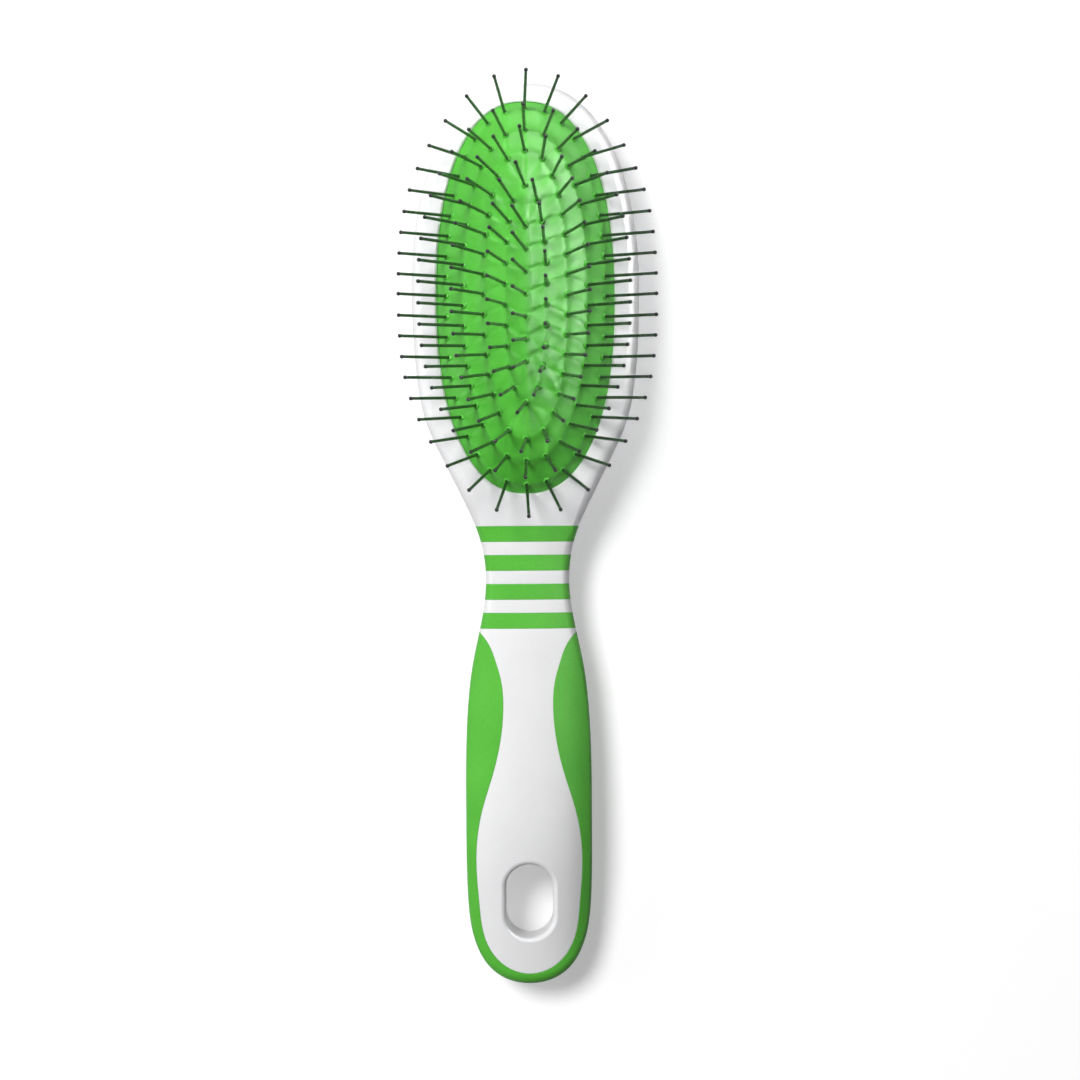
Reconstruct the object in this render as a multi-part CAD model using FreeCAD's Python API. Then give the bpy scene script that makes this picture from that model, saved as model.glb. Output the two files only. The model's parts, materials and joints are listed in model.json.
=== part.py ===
import FreeCAD, Part

import math
import os

from FreeCAD import Placement, Rotation, Vector

# Pet grooming pin brush, lying on its back. Millimetres, +Z out of the pin face,
# +Y from the handle to the tip of the head, X across. The origin is the point of
# the flat rest face below the centre of the air cushion.

os.makedirs("parts", exist_ok=True)
UP = Vector(0, 0, 1)
# Levels and a width that lie clear outside the brush, for tools that cut right through it.
BELOW_Z = -60.0
ABOVE_Z = 100.0
BEYOND_X = 50.0

# ---- body: outside shape ----
TIP_Y = 57.1
HANDLE_END_Y = -182.9
# Half width of the body at points down its right edge, from head to handle.
BODY_EDGE = [
    (10.6, 55.0), (18.3, 48.5), (25.5, 35.1), (29.6, 16.3), (30.25, -1.2), (29.3, -18.7),
    (26.9, -32.1), (22.2, -42.9), (16.9, -53.6), (12.5, -64.4), (11.05, -75.1), (12.3, -85.9),
    (14.6, -96.6), (16.4, -112.8), (16.8, -141.0), (16.4, -161.1), (14.6, -171.9), (9.4, -179.9),
]
# Height of the front and back faces along the middle line, as (y, z) stations.
FRONT_LINE = [(62.0, 18.4), (44.0, 19.0), (-50.0, 19.0), (-76.0, 17.6), (-140.0, 21.2), (-192.0, 15.2)]
BACK_LINE = [(66.0, 3.0), (36.0, -0.8), (-34.0, -0.8), (-76.0, 3.2), (-140.0, -0.35), (-192.0, 5.2)]
HEAD_END_Y = -50.0
NECK_START_Y = -68.0
CROWN_SQUARE = 0.0115
CROWN_FOURTH = 3.7e-5
CROWN_REACH = 17.5
HEAD_BACK_SQUARE = 0.0045
FRONT_ROUNDING = 3.0
BACK_ROUNDING = 4.0
ROUNDING_STEPS = 5
CREASE = math.radians(7)
PAST_FACE = (0.5, 1.2)
FACE_GRID_MARGIN = 8.0
FACE_GRID_HALF_WIDTH = 34.0
FACE_GRID_STEPS = (16, 40)
SEAM_Z = 10.0
SEAM_GROOVE_WIDTH = 0.3
SEAM_GROOVE_DEPTH = 0.35

# ---- body: walls ----
GRIP_THICKNESS = 1.2
WALL_INSET = 2.8
TONGUE_INSET = 1.5
TONGUE_WIDTH = 0.7
TONGUE_HEIGHT = 1.2
TONGUE_GAP = 0.1
PEG_RADIUS = 1.6
SOCKET_RADIUS = 3.0
PEG_GAP = 0.05
PEG_DEPTH = 4.0
SOCKET_END_GAP = 0.5
PEG_YS = (-66.0, -98.0, -128.0)
RIB_THICKNESS = 1.4
RIB_YS = (-82.0, -112.0, -142.0)

# ---- grip, neck bands and hanging slot ----
# Half width of the hard white panel between the two sides of the soft grip.
PANEL_EDGE = [
    (15.5, -86.5), (10.9, -91.3), (8.6, -96.6), (7.1, -102.0), (6.6, -108.7), (7.5, -118.1),
    (9.4, -126.2), (12.6, -136.9), (14.1, -150.4), (13.4, -161.1), (11.4, -171.9), (7.3, -177.3),
]
PANEL_TOP_MARGIN = 3.0
PANEL_END_Y = -179.9
GRIP_TOP_Y = -86.0
BAND_WIDTH = 4.2
BAND_PITCH = 7.7
FIRST_BAND_Y = -62.75
BAND_COUNT = 4
SLOT_Y = -160.3
SLOT_WIDTH = 12.6
SLOT_LENGTH = 19.9
SLOT_WALL = 1.6
SLOT_LIP = 1.2
SLOT_STEPS = 96

# ---- air cushion ----
OVAL_POWER = 2.3
OPENING = (23.65, 52.0)
OPENING_BEVEL = 0.5
CUSHION_GAP = 0.2
RIM_Z = 18.2
FLANGE_TOP_Z = 17.1
FLANGE_BOTTOM_Z = 15.5
FLANGE_WIDTH = 1.6
RUBBER_THICKNESS = 1.5
BACKING_DEPTHS = (2.9, 3.4)
BASE_PLATE_THICKNESS = 1.6
BASE_PLATE_WIDTH = 1.9
BASE_PLATE_GAP = 0.15
BREATHER_RADIUS = 1.0
POST_RADIUS = 3.0
POST_BORE = 1.6
POST_BORE_BOTTOM_Z = 3.8
POST_PLACES = [(x, y) for x in (-13.0, 13.0) for y in (-30.0, 0.0, 30.0)]

# ---- pins ----
# Each ring: node name, half width, half length, height above the rim,
# number of pins, and how far the cushion's wall leans there, at its side and at its end.
RINGS = [
    ("outer_ring", 21.1, 49.7, 2.6, 44, 46.0, 32.0),
    ("second_ring", 16.5, 43.5, 6.6, 38, 39.0, 20.0),
    ("third_ring", 11.1, 37.8, 9.2, 32, 21.0, 16.0),
    ("inner_ring", 5.45, 28.4, 10.9, 22, 5.0, 10.0),
]
CENTRE_HEIGHT = 11.4
CENTRE_COUNT = 7
CENTRE_PITCH = 5.9
CREST = (1.6, 21.0)
PIN_RADIUS = 0.41
PIN_HOLE_GAP = 0.05
PIN_HOLE_RISE = 1.5
PIN_FREE_LENGTH = 20.0
PIN_HEAD_RADIUS = 1.0
PIN_HEAD_THICKNESS = 0.4
PIN_HEAD_DEPTH = 2.42
TIP_RADIUS = 0.53
TIP_COVER = 0.42
# How far the outermost pins fan out to the sides and the ends, and the slight lean in x and y
# of the middle row and of the outer ring, all as sines.
SIDE_SPREAD = 0.63
END_SPREAD = 0.4
CENTRE_LEAN = (-0.16, 0.0)
OUTER_LEAN = (0.03, -0.04)


def save(name, shape):
    """Writes one sub-part, without the wrapping that a boolean leaves round it."""
    solids = shape.Solids
    whole = solids[0] if len(solids) == 1 else Part.makeCompound(solids)
    whole.exportStep(f"parts/{name}.step")
    print(f"{name}: {len(solids)} solids, {shape.Volume:.1f} mm3, valid {shape.isValid()}")


def closed_spline(points):
    curve = Part.BSplineCurve()
    curve.interpolate(Points=points, PeriodicFlag=True)
    return curve


def evenly_timed_spline(points):
    """A closed curve whose knots fall on its points, so that curves like it loft into one light face."""
    curve = Part.BSplineCurve()
    times = [float(i) for i in range(len(points) + 1)]
    curve.interpolate(Points=points, PeriodicFlag=True, Parameters=times)
    return curve


def mirrored_loop(edge, top_y, end_y):
    """A closed loop from the points of its right edge and its two ends on the middle line."""
    right = [Vector(x, y, 0) for x, y in edge]
    left = [Vector(-p.x, p.y, 0) for p in reversed(right)]
    return closed_spline([Vector(0, top_y, 0)] + right + [Vector(0, end_y, 0)] + left)


def steps_round(curve, count=80):
    """(point, inward way) at even steps round a loop. The loops here run clockwise."""
    first, last = curve.FirstParameter, curve.LastParameter
    steps = []
    for i in range(count):
        at = first + (last - first) * i / count
        along = curve.tangent(at)[0]
        steps.append((curve.value(at), Vector(along.y, -along.x, 0)))
    return steps


def inset_loop(curve, inset):
    """The curve moved inwards by inset, or outwards where inset is below 0."""
    return closed_spline([point + inward * inset for point, inward in steps_round(curve)])


def band_inside(curve, inset, width, low, high):
    """An upright band round the body, from inset to inset + width inside a curve."""
    outer = prism(inset_loop(curve, inset), low, high)
    return outer.cut(prism(inset_loop(curve, inset + width), low - 1, high + 1))


def prism(curve, low, high):
    """The solid inside a closed curve of the plane z = 0, from height low to height high."""
    face = Part.Face(Part.Wire([curve.toShape()]))
    face.translate(Vector(0, 0, low))
    return face.extrude(Vector(0, 0, high - low))


def slab(y_low, y_high, z_low=BELOW_Z, z_high=ABOVE_Z):
    return Part.makeBox(2 * BEYOND_X, y_high - y_low, z_high - z_low, Vector(-BEYOND_X, y_low, z_low))


def eased(y, stations):
    """The value at y, easing with level ends from each (y, value) station to the next."""
    if y >= stations[0][0]:
        return stations[0][1]
    for (y0, v0), (y1, v1) in zip(stations, stations[1:]):
        if y >= y1:
            t = (y0 - y) / (y0 - y1)
            return v0 + (v1 - v0) * t * t * (3 - 2 * t)
    return stations[-1][1]


def crown_drop(x):
    """How far the crowned neck and handle fall away at x, going on straight past CROWN_REACH."""
    near = min(abs(x), CROWN_REACH)
    slope = 2 * CROWN_SQUARE * near + 4 * CROWN_FOURTH * near**3
    return CROWN_SQUARE * near**2 + CROWN_FOURTH * near**4 + slope * (abs(x) - near)


def crown_share(y):
    return eased(y, [(HEAD_END_Y, 0.0), (NECK_START_Y, 1.0)])


def front_height(x, y):
    return eased(y, FRONT_LINE) - crown_share(y) * crown_drop(x)


def back_height(x, y):
    share = crown_share(y)
    return eased(y, BACK_LINE) + share * crown_drop(x) + (1 - share) * HEAD_BACK_SQUARE * x**2


def beyond(height, offset, upwards):
    """Everything above, or below, the face z = height(x, y) + offset."""
    nx, ny = FACE_GRID_STEPS
    first_y = HANDLE_END_Y - FACE_GRID_MARGIN
    length = TIP_Y + FACE_GRID_MARGIN - first_y
    xs = [FACE_GRID_HALF_WIDTH * (2 * i / nx - 1) for i in range(nx + 1)]
    ys = [first_y + length * i / ny for i in range(ny + 1)]
    rows = [[Vector(x, y, height(x, y) + offset) for y in ys] for x in xs]
    surface = Part.BSplineSurface()
    surface.interpolate(rows)
    reach = ABOVE_Z - BELOW_Z
    return surface.toShape().extrude(UP * (reach if upwards else -reach))


def rounding_rings(walk, height, offset, side, radius):
    """Loops that round the body's edge, from the side wall in to one face and a little past it.

    walk holds (point, inward way) round the side wall, and side is 1 for the front face, -1 for
    the back. The rounding stops CREASE short of lying along the face, so that the face cuts it.
    """
    loops = [[] for _ in range(ROUNDING_STEPS + 1 + len(PAST_FACE))]
    for point, inward in walk:
        outer, inner = point + inward * 0.25 * radius, point + inward * 0.75 * radius
        rise = side * (height(inner.x, inner.y) - height(outer.x, outer.y)) / (0.5 * radius)
        level = math.pi / 2 - max(0.0, math.atan(rise))
        meeting = point + inward * radius * (1 - math.cos(level))
        wall_z = height(meeting.x, meeting.y) + offset - side * radius * math.sin(level)
        last = level - CREASE
        turns = [(last * k / ROUNDING_STEPS, 0.0) for k in range(ROUNDING_STEPS + 1)]
        turns += [(last, past) for past in PAST_FACE]
        for loop, (turn, past) in zip(loops, turns):
            at = point + inward * (radius * (1 - math.cos(turn)) + past * math.sin(turn))
            rise_z = radius * math.sin(turn) + past * math.cos(turn)
            loop.append(Vector(at.x, at.y, wall_z + side * rise_z))
    return loops


def wire_through(points):
    return Part.Wire([evenly_timed_spline(points).toShape()])


def levelled(points, z):
    return [Vector(p.x, p.y, z) for p in points]


def trimmed(solid, inset):
    """solid between the body's back and front faces, each moved inwards by inset."""
    solid = solid.cut(beyond(front_height, -inset, True))
    solid = solid.cut(beyond(back_height, inset, False))
    return solid.cut(slab(HANDLE_END_Y, TIP_Y, BELOW_Z, inset)).Solids[0]


def rounded_column(walk, inset, front_radius, back_radius, bulging):
    """An upright solid whose wall follows walk and is rounded over where it meets the two faces.

    walk holds (point, way the rounding bends). The faces are the body's, moved in by inset.
    The wall between its two roundings is straight, or flows from one to the other if bulging.
    """
    front_loops = rounding_rings(walk, front_height, -inset, 1, front_radius)
    back_loops = rounding_rings(walk, back_height, inset, -1, back_radius)
    front_wires = [wire_through(loop) for loop in front_loops]
    back_wires = [wire_through(loop) for loop in reversed(back_loops)]
    low_end = wire_through(levelled(back_loops[-1], BELOW_Z / 2))
    high_end = wire_through(levelled(front_loops[-1], ABOVE_Z / 2))
    smooth = [back_wires + front_wires] if bulging else [back_wires, front_wires]
    straight = [[low_end, back_wires[0]], [front_wires[-1], high_end]]
    if not bulging:
        straight.append([back_wires[-1], front_wires[0]])
    faces = [Part.Face(high_end), Part.Face(low_end)]
    for wires in smooth:
        faces += Part.makeLoft(wires, False, False).Faces
    for wires in straight:
        faces += Part.makeLoft(wires, False, True).Faces
    shell = Part.makeShell(faces)
    shell.sewShape()
    return Part.makeSolid(shell)


def pebble(inset):
    """The body's outside shape as one solid, with every face moved inwards by inset."""
    edge = mirrored_loop(BODY_EDGE, TIP_Y, HANDLE_END_Y)
    walk = [(point + inward * inset, inward) for point, inward in steps_round(edge)]
    column = rounded_column(walk, inset, FRONT_ROUNDING - inset, BACK_ROUNDING - inset, True)
    return trimmed(column, inset)


def racetrack(width, length, low, high):
    """An upright prism with round ends about the hanging slot's centre."""
    half = (length - width) / 2
    middle = Part.makeBox(width, 2 * half, high - low, Vector(-width / 2, SLOT_Y - half, low))
    ends = [
        Part.makeCylinder(width / 2, high - low, Vector(0, SLOT_Y + side * half, low), UP)
        for side in (-1, 1)
    ]
    return middle.multiFuse(ends).removeSplitter()


def slot_tool():
    """What the hanging slot takes away: the slot itself, its lip rounded at both of its mouths."""
    radius = SLOT_WIDTH / 2
    straight = SLOT_LENGTH - SLOT_WIDTH
    around = 2 * math.pi * radius + 2 * straight
    walk = []
    for i in range(SLOT_STEPS):
        at = around * i / SLOT_STEPS
        side = 1 if at < around / 2 else -1
        at %= around / 2
        turn = math.pi - min(at, math.pi * radius) / radius
        out = Vector(side * math.cos(turn), side * math.sin(turn), 0)
        drop = max(0.0, at - math.pi * radius)
        centre = Vector(0, SLOT_Y + side * (straight / 2 - drop), 0)
        walk.append((centre + out * radius, out))
    return rounded_column(walk, 0.0, SLOT_LIP, SLOT_LIP, False)


def oval_point(half_width, half_length, angle):
    """A point of a superellipse, with angle 0 at its far end and turning towards +X."""
    c, s = math.cos(angle), math.sin(angle)
    x = half_width * math.copysign(abs(s) ** (2 / OVAL_POWER), s)
    y = half_length * math.copysign(abs(c) ** (2 / OVAL_POWER), c)
    return Vector(x, y, 0)


def oval(half_width, half_length, count=48):
    return closed_spline([oval_point(half_width, half_length, 2 * math.pi * i / count) for i in range(count)])


def oval_wire(half_width, half_length, z):
    wire = Part.Wire([oval(half_width, half_length).toShape()])
    wire.translate(Vector(0, 0, z))
    return wire


def dome(depth, bottom_z):
    """The air cushion's outside shape, moved inwards by depth: terraces from ring to ring."""
    edge = (OPENING[0] - CUSHION_GAP - depth, OPENING[1] - CUSHION_GAP - depth)
    wires = [oval_wire(*edge, bottom_z), oval_wire(*edge, RIM_Z)]
    for _, half_width, half_length, height, _, side_lean, end_lean in RINGS:
        down = depth * math.cos(math.radians((side_lean + end_lean) / 2))
        wires.append(
            oval_wire(
                half_width - depth * math.sin(math.radians(side_lean)),
                half_length - depth * math.sin(math.radians(end_lean)),
                RIM_Z + height - down,
            )
        )
    wires.append(oval_wire(*CREST, RIM_Z + CENTRE_HEIGHT - depth))
    return Part.makeLoft(wires, True, True)


def pin_frame(x, y, z, spread):
    """Where a pin leaves the cushion, and the way it points. spread is 0 at the middle, 1 outside."""
    across = abs(x) / RINGS[0][1]
    along = abs(y) / RINGS[0][2]
    ease = across**2 * (3 - 2 * across)
    side = SIDE_SPREAD * (along**2 * across + (1 - along**2) * ease)
    end = END_SPREAD * ((1 - spread) * along + spread * along**6)
    tx = math.copysign(side, x) + CENTRE_LEAN[0] * (1 - spread) + OUTER_LEAN[0] * spread
    ty = math.copysign(end, y) + CENTRE_LEAN[1] * (1 - spread) + OUTER_LEAN[1] * spread
    way = Vector(tx, ty, math.sqrt(1 - tx * tx - ty * ty))
    return Placement(Vector(x, y, z), Rotation(UP, way))


def ring_frames(half_width, half_length, height, count):
    """Pins at equal distances round an oval, the first on the middle line at the tip end."""
    fine = 2400
    points = [oval_point(half_width, half_length, 2 * math.pi * i / fine) for i in range(fine + 1)]
    length = [0.0]
    for a, b in zip(points, points[1:]):
        length.append(length[-1] + (b - a).Length)
    frames, at = [], 0
    for k in range(count):
        while length[at] < length[-1] * k / count:
            at += 1
        p = points[at]
        frames.append(pin_frame(p.x, p.y, RIM_Z + height, half_width / RINGS[0][1]))
    return frames


def bevel_wire(rise):
    """The opening's bevel at a height above the bezel's face, where it is OPENING_BEVEL wide."""
    grown = OPENING_BEVEL + rise
    return oval_wire(OPENING[0] + grown, OPENING[1] + grown, FRONT_LINE[1][1] + rise)


def pin():
    """One steel pin, standing on its flat head, with its free part above z = 0."""
    bottom = -PIN_HEAD_DEPTH
    shank = Part.makeCylinder(PIN_RADIUS, PIN_FREE_LENGTH - TIP_COVER - bottom, Vector(0, 0, bottom), UP)
    head = Part.makeCylinder(PIN_HEAD_RADIUS, PIN_HEAD_THICKNESS, Vector(0, 0, bottom), UP)
    return shank.fuse(head)


def tip():
    """The ball over a pin's end."""
    ball = Part.makeSphere(TIP_RADIUS, Vector(0, 0, PIN_FREE_LENGTH - TIP_RADIUS))
    return ball.cut(pin())


def placed(shape, frames):
    copies = []
    for frame in frames:
        copy = shape.copy()
        copy.Placement = frame
        copies.append(copy)
    return copies


def round_bar(x, y, radius, low, high):
    return Part.makeCylinder(radius, high - low, Vector(x, y, low), UP)


# ---- soft grip and neck bands, cut from a skin over the hard body ----
outside = pebble(0)
under_grip = pebble(GRIP_THICKNESS)
edge_loop = mirrored_loop(BODY_EDGE, TIP_Y, HANDLE_END_Y)
hollow = trimmed(prism(inset_loop(edge_loop, WALL_INSET), 0, ABOVE_Z), WALL_INSET)
skin = outside.cut(under_grip)

panel_loop = mirrored_loop(PANEL_EDGE, PANEL_EDGE[0][1] + PANEL_TOP_MARGIN, PANEL_END_Y)
grip = skin.common(slab(HANDLE_END_Y - 1, GRIP_TOP_Y)).cut(prism(panel_loop, BELOW_Z, ABOVE_Z))
save("handle_grip", grip)

band_ys = [FIRST_BAND_Y - BAND_PITCH * i for i in range(BAND_COUNT)]
bands = [skin.common(slab(y - BAND_WIDTH / 2, y + BAND_WIDTH / 2)) for y in band_ys]
for number, band in enumerate(bands, 1):
    save(f"neck_band_{number}", band)

# ---- hard shells, parted at SEAM_Z ----
slot_wall_size = (SLOT_WIDTH + 2 * SLOT_WALL, SLOT_LENGTH + 2 * SLOT_WALL)
slot_wall = racetrack(*slot_wall_size, BELOW_Z, ABOVE_Z)
groove_low = SEAM_Z - SEAM_GROOVE_WIDTH / 2
seam_groove = band_inside(edge_loop, -1, 1 + SEAM_GROOVE_DEPTH, groove_low, groove_low + SEAM_GROOVE_WIDTH)
hard = outside.cut([grip] + bands)
shell = hard.cut(hollow).fuse(hard.common(slot_wall)).cut([slot_tool(), seam_groove])
upper_half = slab(HANDLE_END_Y - 1, TIP_Y + 1, SEAM_Z)
lower_half = slab(HANDLE_END_Y - 1, TIP_Y + 1, BELOW_Z, SEAM_Z)
tongue_top_z = SEAM_Z + TONGUE_HEIGHT

slot_width = TONGUE_WIDTH + 2 * TONGUE_GAP
tongue_slot = band_inside(edge_loop, TONGUE_INSET - TONGUE_GAP, slot_width, SEAM_Z, tongue_top_z + TONGUE_GAP)
opening = prism(oval(*OPENING), SEAM_Z, ABOVE_Z)
bevel = Part.makeLoft([bevel_wire(-OPENING_BEVEL), bevel_wire(OPENING_BEVEL)], True, True)
flange_size = (OPENING[0] + FLANGE_WIDTH, OPENING[1] + FLANGE_WIDTH)
plate_size = (OPENING[0] + BASE_PLATE_WIDTH, OPENING[1] + BASE_PLATE_WIDTH)
seat_size = (plate_size[0] + BASE_PLATE_GAP, plate_size[1] + BASE_PLATE_GAP)
cushion_seat = prism(oval(*seat_size), SEAM_Z, FLANGE_TOP_Z)
pegs = [round_bar(0, y, PEG_RADIUS, SEAM_Z - PEG_DEPTH, ABOVE_Z).common(under_grip) for y in PEG_YS]
front = shell.common(upper_half).cut([tongue_slot, opening, bevel, cushion_seat])
save("front_shell", front.multiFuse(pegs))

tongue = band_inside(edge_loop, TONGUE_INSET, TONGUE_WIDTH, SEAM_Z, tongue_top_z)
back_inside = under_grip.common(lower_half)
ribs = [slab(y - RIB_THICKNESS / 2, y + RIB_THICKNESS / 2).common(back_inside) for y in RIB_YS]
socket_top_z = SEAM_Z - SOCKET_END_GAP
sockets = [round_bar(0, y, SOCKET_RADIUS, BELOW_Z, socket_top_z).common(under_grip) for y in PEG_YS]
plate_bottom_z = FLANGE_BOTTOM_Z - BASE_PLATE_THICKNESS
posts = [round_bar(x, y, POST_RADIUS, GRIP_THICKNESS, plate_bottom_z) for x, y in POST_PLACES]
back = shell.common(lower_half).multiFuse([tongue] + ribs + sockets + posts)
bore_bottom_z = SEAM_Z - PEG_DEPTH - SOCKET_END_GAP
bores = [round_bar(0, y, PEG_RADIUS + PEG_GAP, bore_bottom_z, ABOVE_Z) for y in PEG_YS]
bores += [round_bar(x, y, POST_BORE, POST_BORE_BOTTOM_Z, ABOVE_Z) for x, y in POST_PLACES]
save("back_shell", back.cut(bores))

# ---- air cushion, its backing and the plate that closes its air space ----
plate = prism(oval(*plate_size), plate_bottom_z, FLANGE_BOTTOM_Z)
save("cushion_base_plate", plate.cut(round_bar(0, 0, BREATHER_RADIUS, BELOW_Z, ABOVE_Z)))

frames = {name: ring_frames(w, l, h, n) for name, w, l, h, n, _, _ in RINGS}
frames["centre_row"] = [
    pin_frame(0.0, CENTRE_PITCH * (i - (CENTRE_COUNT - 1) / 2), RIM_Z + CENTRE_HEIGHT, 0.0)
    for i in range(CENTRE_COUNT)
]
hole = round_bar(0, 0, PIN_RADIUS + PIN_HOLE_GAP, -PIN_HEAD_DEPTH, PIN_HOLE_RISE)
holes = [piece for ring in frames.values() for piece in placed(hole, ring)]
flange = prism(oval(*flange_size), FLANGE_BOTTOM_Z, FLANGE_TOP_Z)
cushion = dome(0, FLANGE_BOTTOM_Z).fuse(flange).cut(dome(RUBBER_THICKNESS, FLANGE_BOTTOM_Z - 1))
save("air_cushion", cushion.cut(holes))

outer_depth, inner_depth = BACKING_DEPTHS
backing = dome(outer_depth, FLANGE_BOTTOM_Z).cut(dome(inner_depth, FLANGE_BOTTOM_Z - 1))
save("pin_backing_sheet", backing)

# ---- pins ----
one_pin, one_tip = pin(), tip()
for name, ring in frames.items():
    save(f"pins_{name}", Part.makeCompound(placed(one_pin, ring)))
    save(f"tips_{name}", Part.makeCompound(placed(one_tip, ring)))
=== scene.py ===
import json
import math

import bmesh
import bpy
import numpy as np
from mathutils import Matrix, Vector


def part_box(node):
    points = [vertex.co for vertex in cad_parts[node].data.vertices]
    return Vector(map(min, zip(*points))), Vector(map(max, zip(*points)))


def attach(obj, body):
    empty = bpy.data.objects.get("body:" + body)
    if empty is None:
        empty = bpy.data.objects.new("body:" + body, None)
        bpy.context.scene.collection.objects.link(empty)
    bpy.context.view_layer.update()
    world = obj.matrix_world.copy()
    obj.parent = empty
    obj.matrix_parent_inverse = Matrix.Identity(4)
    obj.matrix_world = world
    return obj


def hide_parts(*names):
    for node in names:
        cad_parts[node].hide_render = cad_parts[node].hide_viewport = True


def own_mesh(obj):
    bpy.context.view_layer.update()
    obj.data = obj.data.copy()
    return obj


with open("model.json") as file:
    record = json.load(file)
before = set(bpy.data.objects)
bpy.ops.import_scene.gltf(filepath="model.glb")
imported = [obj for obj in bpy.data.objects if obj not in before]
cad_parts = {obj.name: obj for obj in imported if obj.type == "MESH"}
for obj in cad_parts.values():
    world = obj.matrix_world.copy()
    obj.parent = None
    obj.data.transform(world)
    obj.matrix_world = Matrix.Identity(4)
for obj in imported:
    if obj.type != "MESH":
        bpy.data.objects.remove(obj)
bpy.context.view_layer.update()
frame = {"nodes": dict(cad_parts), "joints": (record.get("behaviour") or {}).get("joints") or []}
NODES = frame["nodes"]
BODY = "brush_body"

# ---- pieces of the design, sizes in metres, and the view ----
RING_NODES = ["pins_outer_ring", "pins_second_ring", "pins_third_ring", "pins_inner_ring"]
CENTRE_NODE = "pins_centre_row"
PRESS = next(j for j in frame["joints"] if j["name"] == "cushion_press")
RIM_Z = PRESS["deforming_nodes"][0]["fixed_end_z_m"]
OVAL_POWER = 2.3
CUSHION_EDGE = (0.02362, 0.05197)
CREST = (0.0016, 0.021)
RUBBER_THICKNESS = 0.0015
RUBBER_INSET = 0.0012
BACKING_DEPTH = 0.0029
BACKING_THICKNESS = 0.0005
# How far the rubber leans at each ring of pins, at its side and at its end, in degrees.
RING_LEANS = [(46, 32), (39, 20), (21, 16), (5, 10)]
PIN_HEAD_DEPTH = 0.00242
FLANGE_THICKNESS = 0.0016
FLANGE_GAP = 0.00005
EDGE_DROP = 0.0003
CENTRE_OF_VIEW = (0.0034, -0.0644)
VIEW_HEIGHT = 0.6953
VIEW_ROLL = math.radians(-0.385)
LENS = 85.0


# ---- materials ----
class Maker:
    """A procedural material on a Principled shader, with its patterns in metres on the object."""

    def __init__(self, name):
        self.material = bpy.data.materials.new(name)
        self.material.use_nodes = True
        tree = self.material.node_tree
        self.nodes, self.links = tree.nodes, tree.links
        self.shader = self.nodes["Principled BSDF"]
        self.place = self.nodes.new("ShaderNodeTexCoord").outputs["Object"]

    def set(self, **values):
        for name, value in values.items():
            self.shader.inputs[name.replace("_", " ")].default_value = value

    def stretched(self, scale):
        mapping = self.nodes.new("ShaderNodeMapping")
        mapping.inputs["Scale"].default_value = scale
        self.links.new(self.place, mapping.inputs["Vector"])
        return mapping.outputs["Vector"]

    def noise(self, scale, detail=3.0, place=None):
        node = self.nodes.new("ShaderNodeTexNoise")
        node.inputs["Scale"].default_value = scale
        node.inputs["Detail"].default_value = detail
        self.links.new(place or self.place, node.inputs["Vector"])
        return node.outputs["Fac"]

    def ramp(self, source, low, high, start=0.35, end=0.65):
        """source's spread, start to end, turned into a blend from low to high colour or number."""
        node = self.nodes.new("ShaderNodeMapRange")
        node.inputs["From Min"].default_value = start
        node.inputs["From Max"].default_value = end
        self.links.new(source, node.inputs["Value"])
        if not isinstance(low, tuple):
            node.inputs["To Min"].default_value = low
            node.inputs["To Max"].default_value = high
            return node.outputs["Result"]
        return self.mix(node.outputs["Result"], low, high)

    def mix(self, share, low, high):
        node = self.nodes.new("ShaderNodeMix")
        node.data_type = "RGBA"
        self.links.new(share, node.inputs["Factor"])
        for socket, value in ((node.inputs[6], low), (node.inputs[7], high)):
            if isinstance(value, tuple):
                socket.default_value = (*value, 1.0)
            else:
                self.links.new(value, socket)
        return node.outputs[2]

    def colour(self, source):
        self.links.new(source, self.shader.inputs["Base Color"])

    def roughness(self, source):
        self.links.new(source, self.shader.inputs["Roughness"])

    def grain(self, layers, rounding=None):
        """Bumps from (pattern, height in metres) layers, over edges rounded by rounding."""
        normal = None
        if rounding:
            bevel = self.nodes.new("ShaderNodeBevel")
            bevel.samples = 6
            bevel.inputs["Radius"].default_value = rounding
            normal = bevel.outputs["Normal"]
        for pattern, height in layers:
            bump = self.nodes.new("ShaderNodeBump")
            bump.inputs["Distance"].default_value = height
            self.links.new(pattern, bump.inputs["Height"])
            if normal:
                self.links.new(normal, bump.inputs["Normal"])
            normal = bump.outputs["Normal"]
        self.links.new(normal, self.shader.inputs["Normal"])


def white_plastic():
    m = Maker("white_moulded_plastic")
    m.set(Specular_IOR_Level=0.5, Coat_Weight=0.15, Coat_Roughness=0.22)
    tone = m.ramp(m.noise(28, 4), (0.78, 0.78, 0.79), (0.83, 0.83, 0.835))
    specks = m.noise(1400, 2)
    m.colour(m.mix(m.ramp(specks, 0.0, 0.35, 0.70, 0.78), tone, (0.62, 0.61, 0.60)))
    m.roughness(m.ramp(m.noise(75, 5), 0.30, 0.40))
    m.grain([(m.noise(1500, 3), 0.000012), (m.noise(240, 2), 0.00003)], 0.00035)
    return m.material


def soft_green(name, dark, light, rough, grain_scale, rounding, shine):
    """Matt soft rubber, from a dark to a light green, with a fine grain."""
    m = Maker(name)
    m.set(Specular_IOR_Level=shine)
    broad = m.ramp(m.noise(34, 4), dark, light)
    fine = m.noise(grain_scale, 2)
    m.colour(m.mix(m.ramp(fine, 0.0, 0.25, 0.5, 0.75), broad, tuple(0.7 * c for c in dark)))
    m.roughness(m.ramp(m.noise(110, 4), rough, rough + 0.10))
    m.grain([(fine, 0.00003), (m.noise(300, 3), 0.00002)], rounding)
    return m.material


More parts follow.
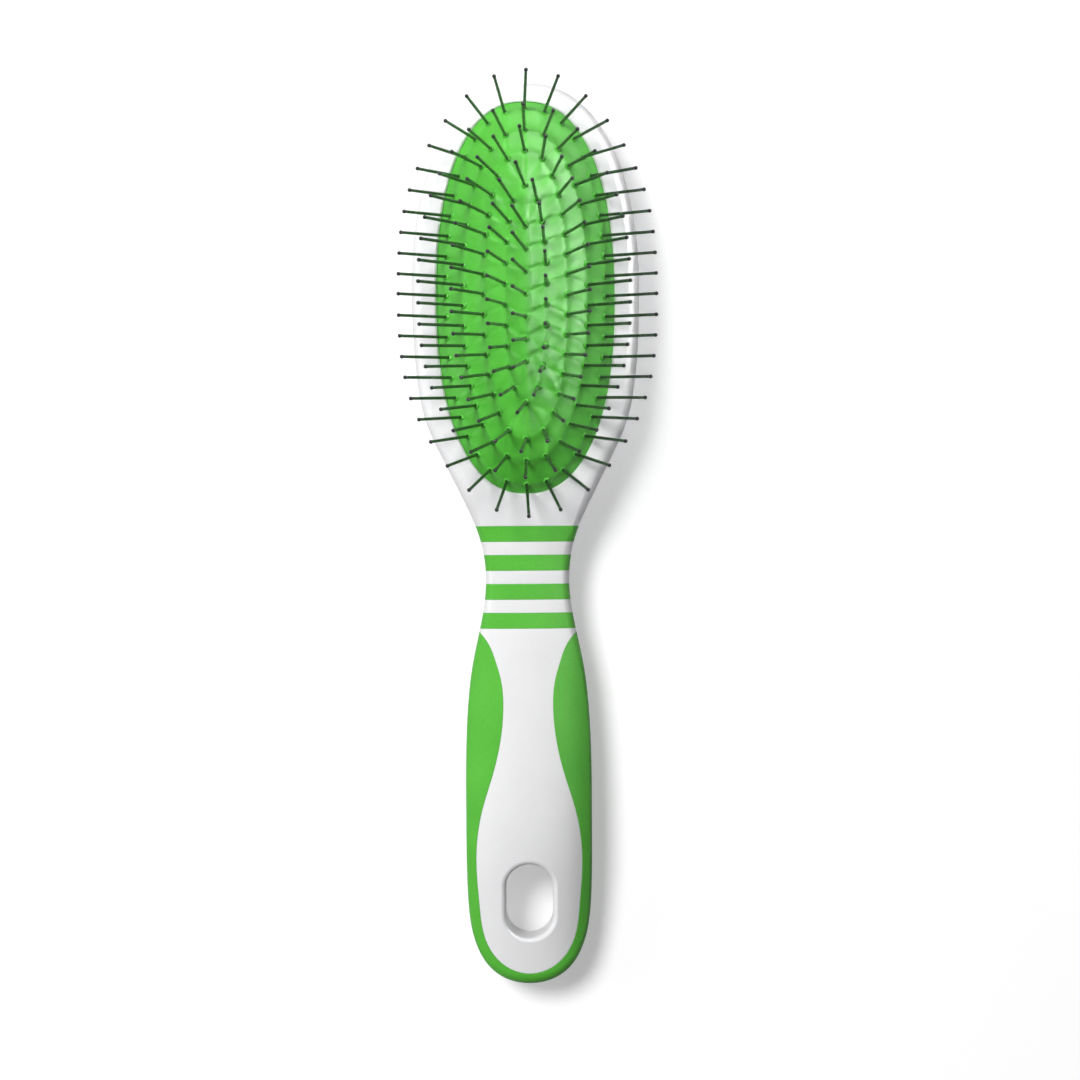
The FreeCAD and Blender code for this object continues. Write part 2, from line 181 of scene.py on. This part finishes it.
def drawn_steel():
    m = Maker("drawn_steel_wire")
    m.set(Metallic=1.0)
    streaks = m.noise(1.0, 4, m.stretched((5200, 5200, 300)))
    m.colour(m.ramp(streaks, (0.085, 0.10, 0.092), (0.19, 0.21, 0.20)))
    m.roughness(m.ramp(m.noise(900, 3), 0.26, 0.40))
    m.grain([(streaks, 0.000008)])
    return m.material


def baked_tip():
    m = Maker("baked_ball_tip")
    m.set(Specular_IOR_Level=0.4)
    m.colour(m.ramp(m.noise(1800, 3), (0.010, 0.013, 0.012), (0.030, 0.035, 0.033)))
    m.roughness(m.ramp(m.noise(700, 3), 0.30, 0.42))
    m.grain([(m.noise(2600, 2), 0.00001)])
    return m.material


def plain_plate():
    m = Maker("plate_plastic")
    m.colour(m.ramp(m.noise(60, 4), (0.62, 0.62, 0.63), (0.70, 0.70, 0.71)))
    m.roughness(m.ramp(m.noise(300, 4), 0.5, 0.65))
    m.grain([(m.noise(2000, 3), 0.00002)])
    return m.material


def backing_cloth():
    """A plain weave, about 1 mm from thread to thread."""
    m = Maker("backing_cloth")
    weave = m.nodes.new("ShaderNodeTexWave")
    weave.bands_direction = "X"
    weave.inputs["Scale"].default_value = 320
    across = m.nodes.new("ShaderNodeTexWave")
    across.bands_direction = "Y"
    across.inputs["Scale"].default_value = 320
    for node in (weave, across):
        node.inputs["Distortion"].default_value = 0.6
        m.links.new(m.place, node.inputs["Vector"])
    threads = m.nodes.new("ShaderNodeMath")
    threads.operation = "MAXIMUM"
    m.links.new(weave.outputs["Fac"], threads.inputs[0])
    m.links.new(across.outputs["Fac"], threads.inputs[1])
    m.set(Sheen_Weight=0.3)
    m.colour(m.ramp(threads.outputs[0], (0.35, 0.33, 0.30), (0.66, 0.63, 0.58), 0.2, 0.9))
    m.roughness(m.ramp(m.noise(900, 3), 0.8, 0.95))
    m.grain([(threads.outputs[0], 0.0001)])
    return m.material


def dress(names, material):
    for name in names:
        mesh = NODES[name].data
        mesh.materials.clear()
        mesh.materials.append(material)


# ---- pins, read from the design ----
def pins_of(node):
    """(place where it leaves the cushion, way it points) for each pin of a node."""
    shape = bmesh.new()
    shape.from_mesh(NODES[node].data)
    bmesh.ops.remove_doubles(shape, verts=shape.verts, dist=1e-6)
    todo, pins = set(shape.verts), []
    while todo:
        seed = todo.pop()
        group, waiting = {seed}, [seed]
        while waiting:
            for edge in waiting.pop().link_edges:
                for vert in edge.verts:
                    if vert in todo:
                        todo.discard(vert)
                        group.add(vert)
                        waiting.append(vert)
        points = np.array([vert.co for vert in group])
        middle = points.mean(0)
        way = np.linalg.svd(points - middle)[2][0]
        way *= np.sign(way[2])
        low = ((points - middle) @ way).min()
        pins.append((Vector(middle + way * (low + PIN_HEAD_DEPTH)), Vector(way)))
    shape.free()
    return sorted(pins, key=lambda pin: math.atan2(pin[0].x, pin[0].y) % (2 * math.pi))


# ---- air cushion ----
def oval_point(half_width, half_length, angle):
    c, s = math.cos(angle), math.sin(angle)
    x = half_width * math.copysign(abs(s) ** (2 / OVAL_POWER), s)
    y = half_length * math.copysign(abs(c) ** (2 / OVAL_POWER), c)
    return Vector((x, y))


def arc_shares(half_width, half_length, angles):
    """How far round an oval each angle is, from 0 to 1."""
    points = [oval_point(half_width, half_length, a) for a in angles]
    steps = [(b - a).length for a, b in zip(points, points[1:])]
    total = np.concatenate([[0.0], np.cumsum(steps)])
    return total / total[-1]


class Dome:
    """The air cushion's outside: terraces that step up from ring to ring of pins."""

    COLUMNS = 420
    FINE_ANGLES = 6001
    STRIP_STEPS = 13
    SCALLOP = (0.0, 0.00008, 0.00016, 0.00020, 0.00020, 0.0)
    CREASE_SHARE = 0.07
    SAG = (0.0002, 0.0004, 0.0004, 0.00038, 0.00012)
    # Makes t * t * (1 - t) reach 1 where it is highest.
    SAG_SCALE = 6.75

    def __init__(self, rings, centre):
        ring_levels = []
        for pins in rings:
            half_width = max(abs(base.x) for base, _ in pins)
            half_length = max(abs(base.y) for base, _ in pins)
            height = sum(base.z for base, _ in pins) / len(pins)
            ring_levels.append((half_width, half_length, height))
        self.top = max(base.z for base, _ in centre)
        self.levels = [(*CUSHION_EDGE, RIM_Z), *ring_levels, (*CREST, self.top)]
        self.counts = [0, *(len(pins) for pins in rings), 0]
        fine = np.linspace(0, 2 * math.pi, self.FINE_ANGLES)
        middle = arc_shares(*self.levels[2][:2], fine)
        self.angles = np.interp(np.arange(self.COLUMNS) / self.COLUMNS, middle, fine)
        self.corners = [self.corner_loop(k, fine) for k in range(len(self.levels))]

    def corner_loop(self, k, fine):
        """The crease along ring k, which hangs a little slack between its pins."""
        half_width, half_length, height = self.levels[k]
        shares = np.interp(self.angles, fine, arc_shares(half_width, half_length, fine))
        loop = []
        for angle, share in zip(self.angles, shares):
            flat = oval_point(half_width, half_length, angle)
            slack = self.SCALLOP[k] * (0.5 - 0.5 * math.cos(2 * math.pi * self.counts[k] * share))
            inward = Vector((-flat.x / half_width, -flat.y / half_length, 0)) * 0.5
            loop.append(Vector((flat.x, flat.y, height)) + slack * (inward - Vector((0, 0, 1))))
        return loop

    def at(self, column, along):
        """A point along = 0 at the cushion's edge, 1 at the outer ring and so on, creases rounded."""
        last = len(self.corners) - 1
        nearest = min(max(round(along), 0), last)
        reach = self.CREASE_SHARE
        if 0 < nearest < last and abs(along - nearest) < reach:
            t = (along - nearest + reach) / (2 * reach)
            a = self.straight(column, nearest - reach)
            b = self.corners[nearest][column]
            c = self.straight(column, nearest + reach)
            return a * (1 - t) ** 2 + b * 2 * t * (1 - t) + c * t * t
        return self.straight(column, along)

    def straight(self, column, along):
        """Each strip between two rings sags, most of all two thirds of the way up."""
        k = min(int(along), len(self.corners) - 2)
        t = along - k
        sag = self.SAG[k] * self.SAG_SCALE * t * t * (1 - t)
        return self.corners[k][column].lerp(self.corners[k + 1][column], t) - Vector((0, 0, sag))


BESIDE_X = 0.002
CREASE_SLANT = 0.0025
CREASE_DEPTH = 0.00018
CREASE_WIDTH = 0.00055
NEST_DEPTH = 0.0003
NEST_WIDTH = 0.0012


def tufts(rings, centre):
    """The rubber's fine creases: a line from each pin to the nearest one of the next ring in.

    Each pin of the middle row has one to either side, which slants towards the tip of the head.
    """
    lines = []
    for outer, inner in zip(rings, rings[1:]):
        for base, _ in outer:
            nearest = min(inner, key=lambda pin: (pin[0] - base).length)[0]
            lines.append((base, nearest))
    for base, _ in centre:
        for side in (-1, 1):
            beside = [pin[0] for pin in rings[-1] if pin[0].x * side > BESIDE_X]
            lines.append((base, min(beside, key=lambda p: abs(p.y - base.y - CREASE_SLANT))))
    return lines


def tufted(points, pins, lines):
    """How far the rubber is drawn down at each point, by the pins and the creases between them."""
    flat = points[:, :2]
    drop = np.zeros(len(points))
    for base, _ in pins:
        reach = np.hypot(*(flat - base.xy).T)
        drop = np.maximum(drop, NEST_DEPTH * np.exp(-((reach / NEST_WIDTH) ** 2)))
    for a, b in lines:
        a, b = np.array(a.xy), np.array(b.xy)
        along = b - a
        t = np.clip((flat - a) @ along / (along @ along), 0, 1)
        reach = np.hypot(*(flat - a - t[:, None] * along).T)
        drop = np.maximum(drop, CREASE_DEPTH * np.exp(-((reach / CREASE_WIDTH) ** 2)))
    return drop


def ring_of(shape, points):
    return [shape.verts.new(point) for point in points]


def bridge(shape, lower, upper):
    for i in range(len(lower)):
        j = (i + 1) % len(lower)
        shape.faces.new((lower[j], lower[i], upper[i], upper[j]))


def shrunk(loop, inset, drop):
    """A loop moved towards the cushion's middle and down."""
    moved = []
    for point in loop:
        flat = Vector((point.x, point.y, 0))
        moved.append(point - flat.normalized() * min(inset, flat.length * 0.5) - Vector((0, 0, drop)))
    return moved


# A collar's outline as (distance from the pin's middle, height along the pin), outside to bore.
COLLAR = [
    (0.00105, -0.00060), (0.00094, -0.00015), (0.00080, 0.00010), (0.00068, 0.00028),
    (0.00060, 0.00034), (0.00050, 0.00033), (0.00046, 0.00026), (0.00046, -0.00080),
]
COLLAR_SIDES = 18


def add_collar(shape, base, way):
    """The little raised lip of rubber that grips a pin."""
    side = way.orthogonal().normalized()
    other = way.cross(side)
    loops = []
    for radius, height in COLLAR:
        loop = []
        for i in range(COLLAR_SIDES):
            turn = 2 * math.pi * i / COLLAR_SIDES
            loop.append(base + way * height + radius * (side * math.cos(turn) + other * math.sin(turn)))
        loops.append(ring_of(shape, loop))
    for outer, inner in zip(loops, loops[1:]):
        bridge(shape, outer, inner)
    bridge(shape, loops[-1], loops[0])


def make_cushion(dome, rings, centre, material):
    shape = bmesh.new()
    low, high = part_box("air_cushion")
    flange_bottom = low.z
    flange_top = flange_bottom + FLANGE_THICKNESS
    edge_z = RIM_Z - EDGE_DROP
    columns = range(dome.COLUMNS)
    edge = dome.corners[0]

    def at_height(loop, grown, z):
        points = []
        for point in loop:
            flat = Vector((point.x, point.y, 0))
            points.append(flat + flat.normalized() * grown + Vector((0, 0, z)))
        return points

    flange = high.x - CUSHION_EDGE[0] - FLANGE_GAP
    loops = [
        at_height(edge, flange, flange_bottom),
        at_height(edge, flange, flange_top),
        at_height(edge, 0.0, flange_top),
        at_height(edge, 0.0, edge_z),
    ]
    last = len(dome.corners) - 1
    pins = [pin for ring in [*rings, centre] for pin in ring]
    lines = tufts(rings, centre)
    for i in range(last * dome.STRIP_STEPS + 1):
        loop = np.array([dome.at(c, i / dome.STRIP_STEPS) for c in columns])
        loop[:, 2] -= tufted(loop, pins, lines)
        loops.append(loop)
    rings_out = [ring_of(shape, loop) for loop in loops]
    for lower, upper in zip(rings_out, rings_out[1:]):
        bridge(shape, lower, upper)
    close_slit(shape, rings_out[-1])

    inner_loops = [at_height(edge, -RUBBER_THICKNESS, z) for z in (flange_bottom, edge_z)]
    for k in range(1, last + 1):
        corner = [dome.at(c, float(k)) for c in columns]
        inner_loops.append(shrunk(corner, RUBBER_INSET, RUBBER_THICKNESS))
    rings_in = [ring_of(shape, loop) for loop in inner_loops]
    for lower, upper in zip(rings_in, rings_in[1:]):
        bridge(shape, upper, lower)
    close_slit(shape, rings_in[-1], below=True)
    bridge(shape, rings_in[0], rings_out[0])

    for base, way in pins:
        add_collar(shape, base, way)

    return add_piece("cushion_rubber", shape, material)


def backing_loops(dome, depth, foot_z):
    """Loops of the cloth at a depth below the rubber's outside, from its foot up to the crest."""
    side, end = (reach - depth for reach in CUSHION_EDGE)
    levels = [(side, end, foot_z), (side, end, RIM_Z)]
    for (half_width, half_length, height), leans in zip(dome.levels[1:], RING_LEANS):
        side, end = (math.radians(lean) for lean in leans)
        down = depth * math.cos((side + end) / 2)
        inward = (depth * math.sin(side), depth * math.sin(end))
        levels.append((half_width - inward[0], half_length - inward[1], height - down))
    levels.append((*CREST, dome.top - depth))
    return [
        [Vector((*oval_point(half_width, half_length, angle), z)) for angle in dome.angles]
        for half_width, half_length, z in levels
    ]


def make_backing(dome, foot_z, material):
    """The cloth behind the rubber, and (width, length) of the oval it is cut from."""
    shape = bmesh.new()
    outside = backing_loops(dome, BACKING_DEPTH, foot_z)
    inside = backing_loops(dome, BACKING_DEPTH + BACKING_THICKNESS, foot_z)
    side = dome.COLUMNS // 4
    across = 2 * sum((b[side] - a[side]).length for a, b in zip(outside, outside[1:]))
    along = 2 * sum((b[0] - a[0]).length for a, b in zip(outside, outside[1:]))
    outer_rings = [ring_of(shape, loop) for loop in outside]
    inner_rings = [ring_of(shape, loop) for loop in inside]
    for lower, upper in zip(outer_rings, outer_rings[1:]):
        bridge(shape, lower, upper)
    for lower, upper in zip(inner_rings, inner_rings[1:]):
        bridge(shape, upper, lower)
    bridge(shape, inner_rings[0], outer_rings[0])
    close_slit(shape, outer_rings[-1])
    close_slit(shape, inner_rings[-1], below=True)
    piece = add_piece("backing_cloth", shape, material)
    return piece, (across + 2 * CREST[0], along + 2 * CREST[1])


def add_piece(name, shape, material):
    mesh = bpy.data.meshes.new(name)
    shape.to_mesh(mesh)
    shape.free()
    for polygon in mesh.polygons:
        polygon.use_smooth = True
    mesh.materials.append(material)
    piece = bpy.data.objects.new(name, mesh)
    bpy.context.scene.collection.objects.link(piece)
    return piece


def close_slit(shape, loop, below=False):
    """Closes a long thin loop straight across, each vertex to its mirror image.

    The faces look up, or down with below.
    """
    count = len(loop)
    half = count // 2
    for i in range(half):
        a, b = loop[i], loop[i + 1]
        c, d = loop[(count - i - 1) % count], loop[(count - i) % count]
        corners = []
        for vert in (a, b, c, d):
            if vert not in corners:
                corners.append(vert)
        if len(corners) > 2:
            shape.faces.new(corners if below else list(reversed(corners)))


# ---- stage ----
FLOOR_REACH = 3.0
FLOOR_Z = -0.00005


def make_floor():
    """A light table, bright by itself, whose glow is kept off the brush's matt surfaces."""
    material = Maker("light_table")
    tone = material.ramp(material.noise(6, 3), (0.72, 0.72, 0.72), (0.74, 0.74, 0.74))
    material.colour(tone)
    material.set(Roughness=0.85, Specular_IOR_Level=0.1)
    material.set(Emission_Color=(1, 1, 1, 1), Emission_Strength=0.38)
    mesh = bpy.data.meshes.new("floor")
    corners = [(-1, -1), (1, -1), (1, 1), (-1, 1)]
    mesh.from_pydata([(x * FLOOR_REACH, y * FLOOR_REACH, FLOOR_Z) for x, y in corners], [], [(0, 1, 2, 3)])
    mesh.materials.append(material.material)
    floor = bpy.data.objects.new("floor", mesh)
    floor.visible_diffuse = False
    bpy.context.scene.collection.objects.link(floor)


def add_light(name, place, size, power, target, spread=180):
    """A round softbox, with a grid that narrows its beam where spread is under 180 degrees."""
    data = bpy.data.lights.new(name, "AREA")
    data.shape = "DISK"
    data.size = size
    data.energy = power
    data.spread = math.radians(spread)
    lamp = bpy.data.objects.new(name, data)
    lamp.location = place
    lamp.rotation_euler = (Vector(target) - Vector(place)).to_track_quat("-Z", "Y").to_euler()
    bpy.context.scene.collection.objects.link(lamp)
    return lamp


def light_the_stage():
    """The key makes no reflections, and the two sheen lights make nothing else."""
    world = bpy.data.worlds.new("studio")
    world.use_nodes = True
    world.node_tree.nodes["Background"].inputs["Color"].default_value = (0.96, 0.98, 1.0, 1.0)
    world.node_tree.nodes["Background"].inputs["Strength"].default_value = 0.08
    bpy.context.scene.world = world
    head = (0.0, -0.03, 0.02)
    crown = (0.0, 0.01, 0.025)
    key = add_light("key", (-0.70, 0.59, 1.66), 0.72, 35.0, head)
    key.visible_glossy = False
    add_light("left_soft", (-0.85, 0.05, 0.42), 0.45, 2.0, head)
    add_light("right_soft", (0.35, 0.13, 0.56), 0.12, 0.016, crown, 16)
    add_light("far_soft", (0.08, 0.52, 0.42), 0.12, 0.005, crown, 12)
    right_sheen = add_light("right_sheen", (0.42, 0.22, 0.50), 0.46, 4.5, crown)
    right_sheen.visible_diffuse = False
    far_sheen = add_light("far_sheen", (0.06, 0.50, 0.50), 0.46, 3.6, crown)
    far_sheen.visible_diffuse = False


def set_camera():
    data = bpy.data.cameras.new("camera")
    data.lens = LENS
    data.sensor_width = 36.0
    data.clip_start = 0.01
    camera = bpy.data.objects.new("camera", data)
    camera.location = (*CENTRE_OF_VIEW, VIEW_HEIGHT)
    camera.rotation_euler = (0.0, 0.0, VIEW_ROLL)
    bpy.context.scene.collection.objects.link(camera)
    bpy.context.scene.camera = camera
    bpy.context.scene.view_settings.view_transform = "Standard"


set_camera()
light_the_stage()
make_floor()

white = white_plastic()
GRIP_GREENS = ((0.085, 0.43, 0.040), (0.11, 0.50, 0.052))
CUSHION_GREENS = ((0.070, 0.43, 0.032), (0.095, 0.51, 0.046))
grip_green = soft_green("soft_grip_rubber", *GRIP_GREENS, 0.50, 1900, 0.0004, 0.25)
cushion_green = soft_green("cushion_rubber", *CUSHION_GREENS, 0.42, 2600, None, 0.6)
dress(["front_shell", "back_shell"], white)
dress(["handle_grip", *(f"neck_band_{i}" for i in range(1, 5))], grip_green)
dress(["cushion_base_plate"], plain_plate())
dress([name for name in NODES if name.startswith("pins_")], drawn_steel())
dress([name for name in NODES if name.startswith("tips_")], baked_tip())

ring_pins = [pins_of(node) for node in RING_NODES]
centre_pins = pins_of(CENTRE_NODE)
dome = Dome(ring_pins, centre_pins)
cushion = make_cushion(dome, ring_pins, centre_pins, cushion_green)
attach(cushion, BODY)
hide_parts("air_cushion")
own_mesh(cushion)

foot_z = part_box("pin_backing_sheet")[0].z
backing, backing_cut = make_backing(dome, foot_z, backing_cloth())
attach(backing, BODY)
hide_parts("pin_backing_sheet")
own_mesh(backing)
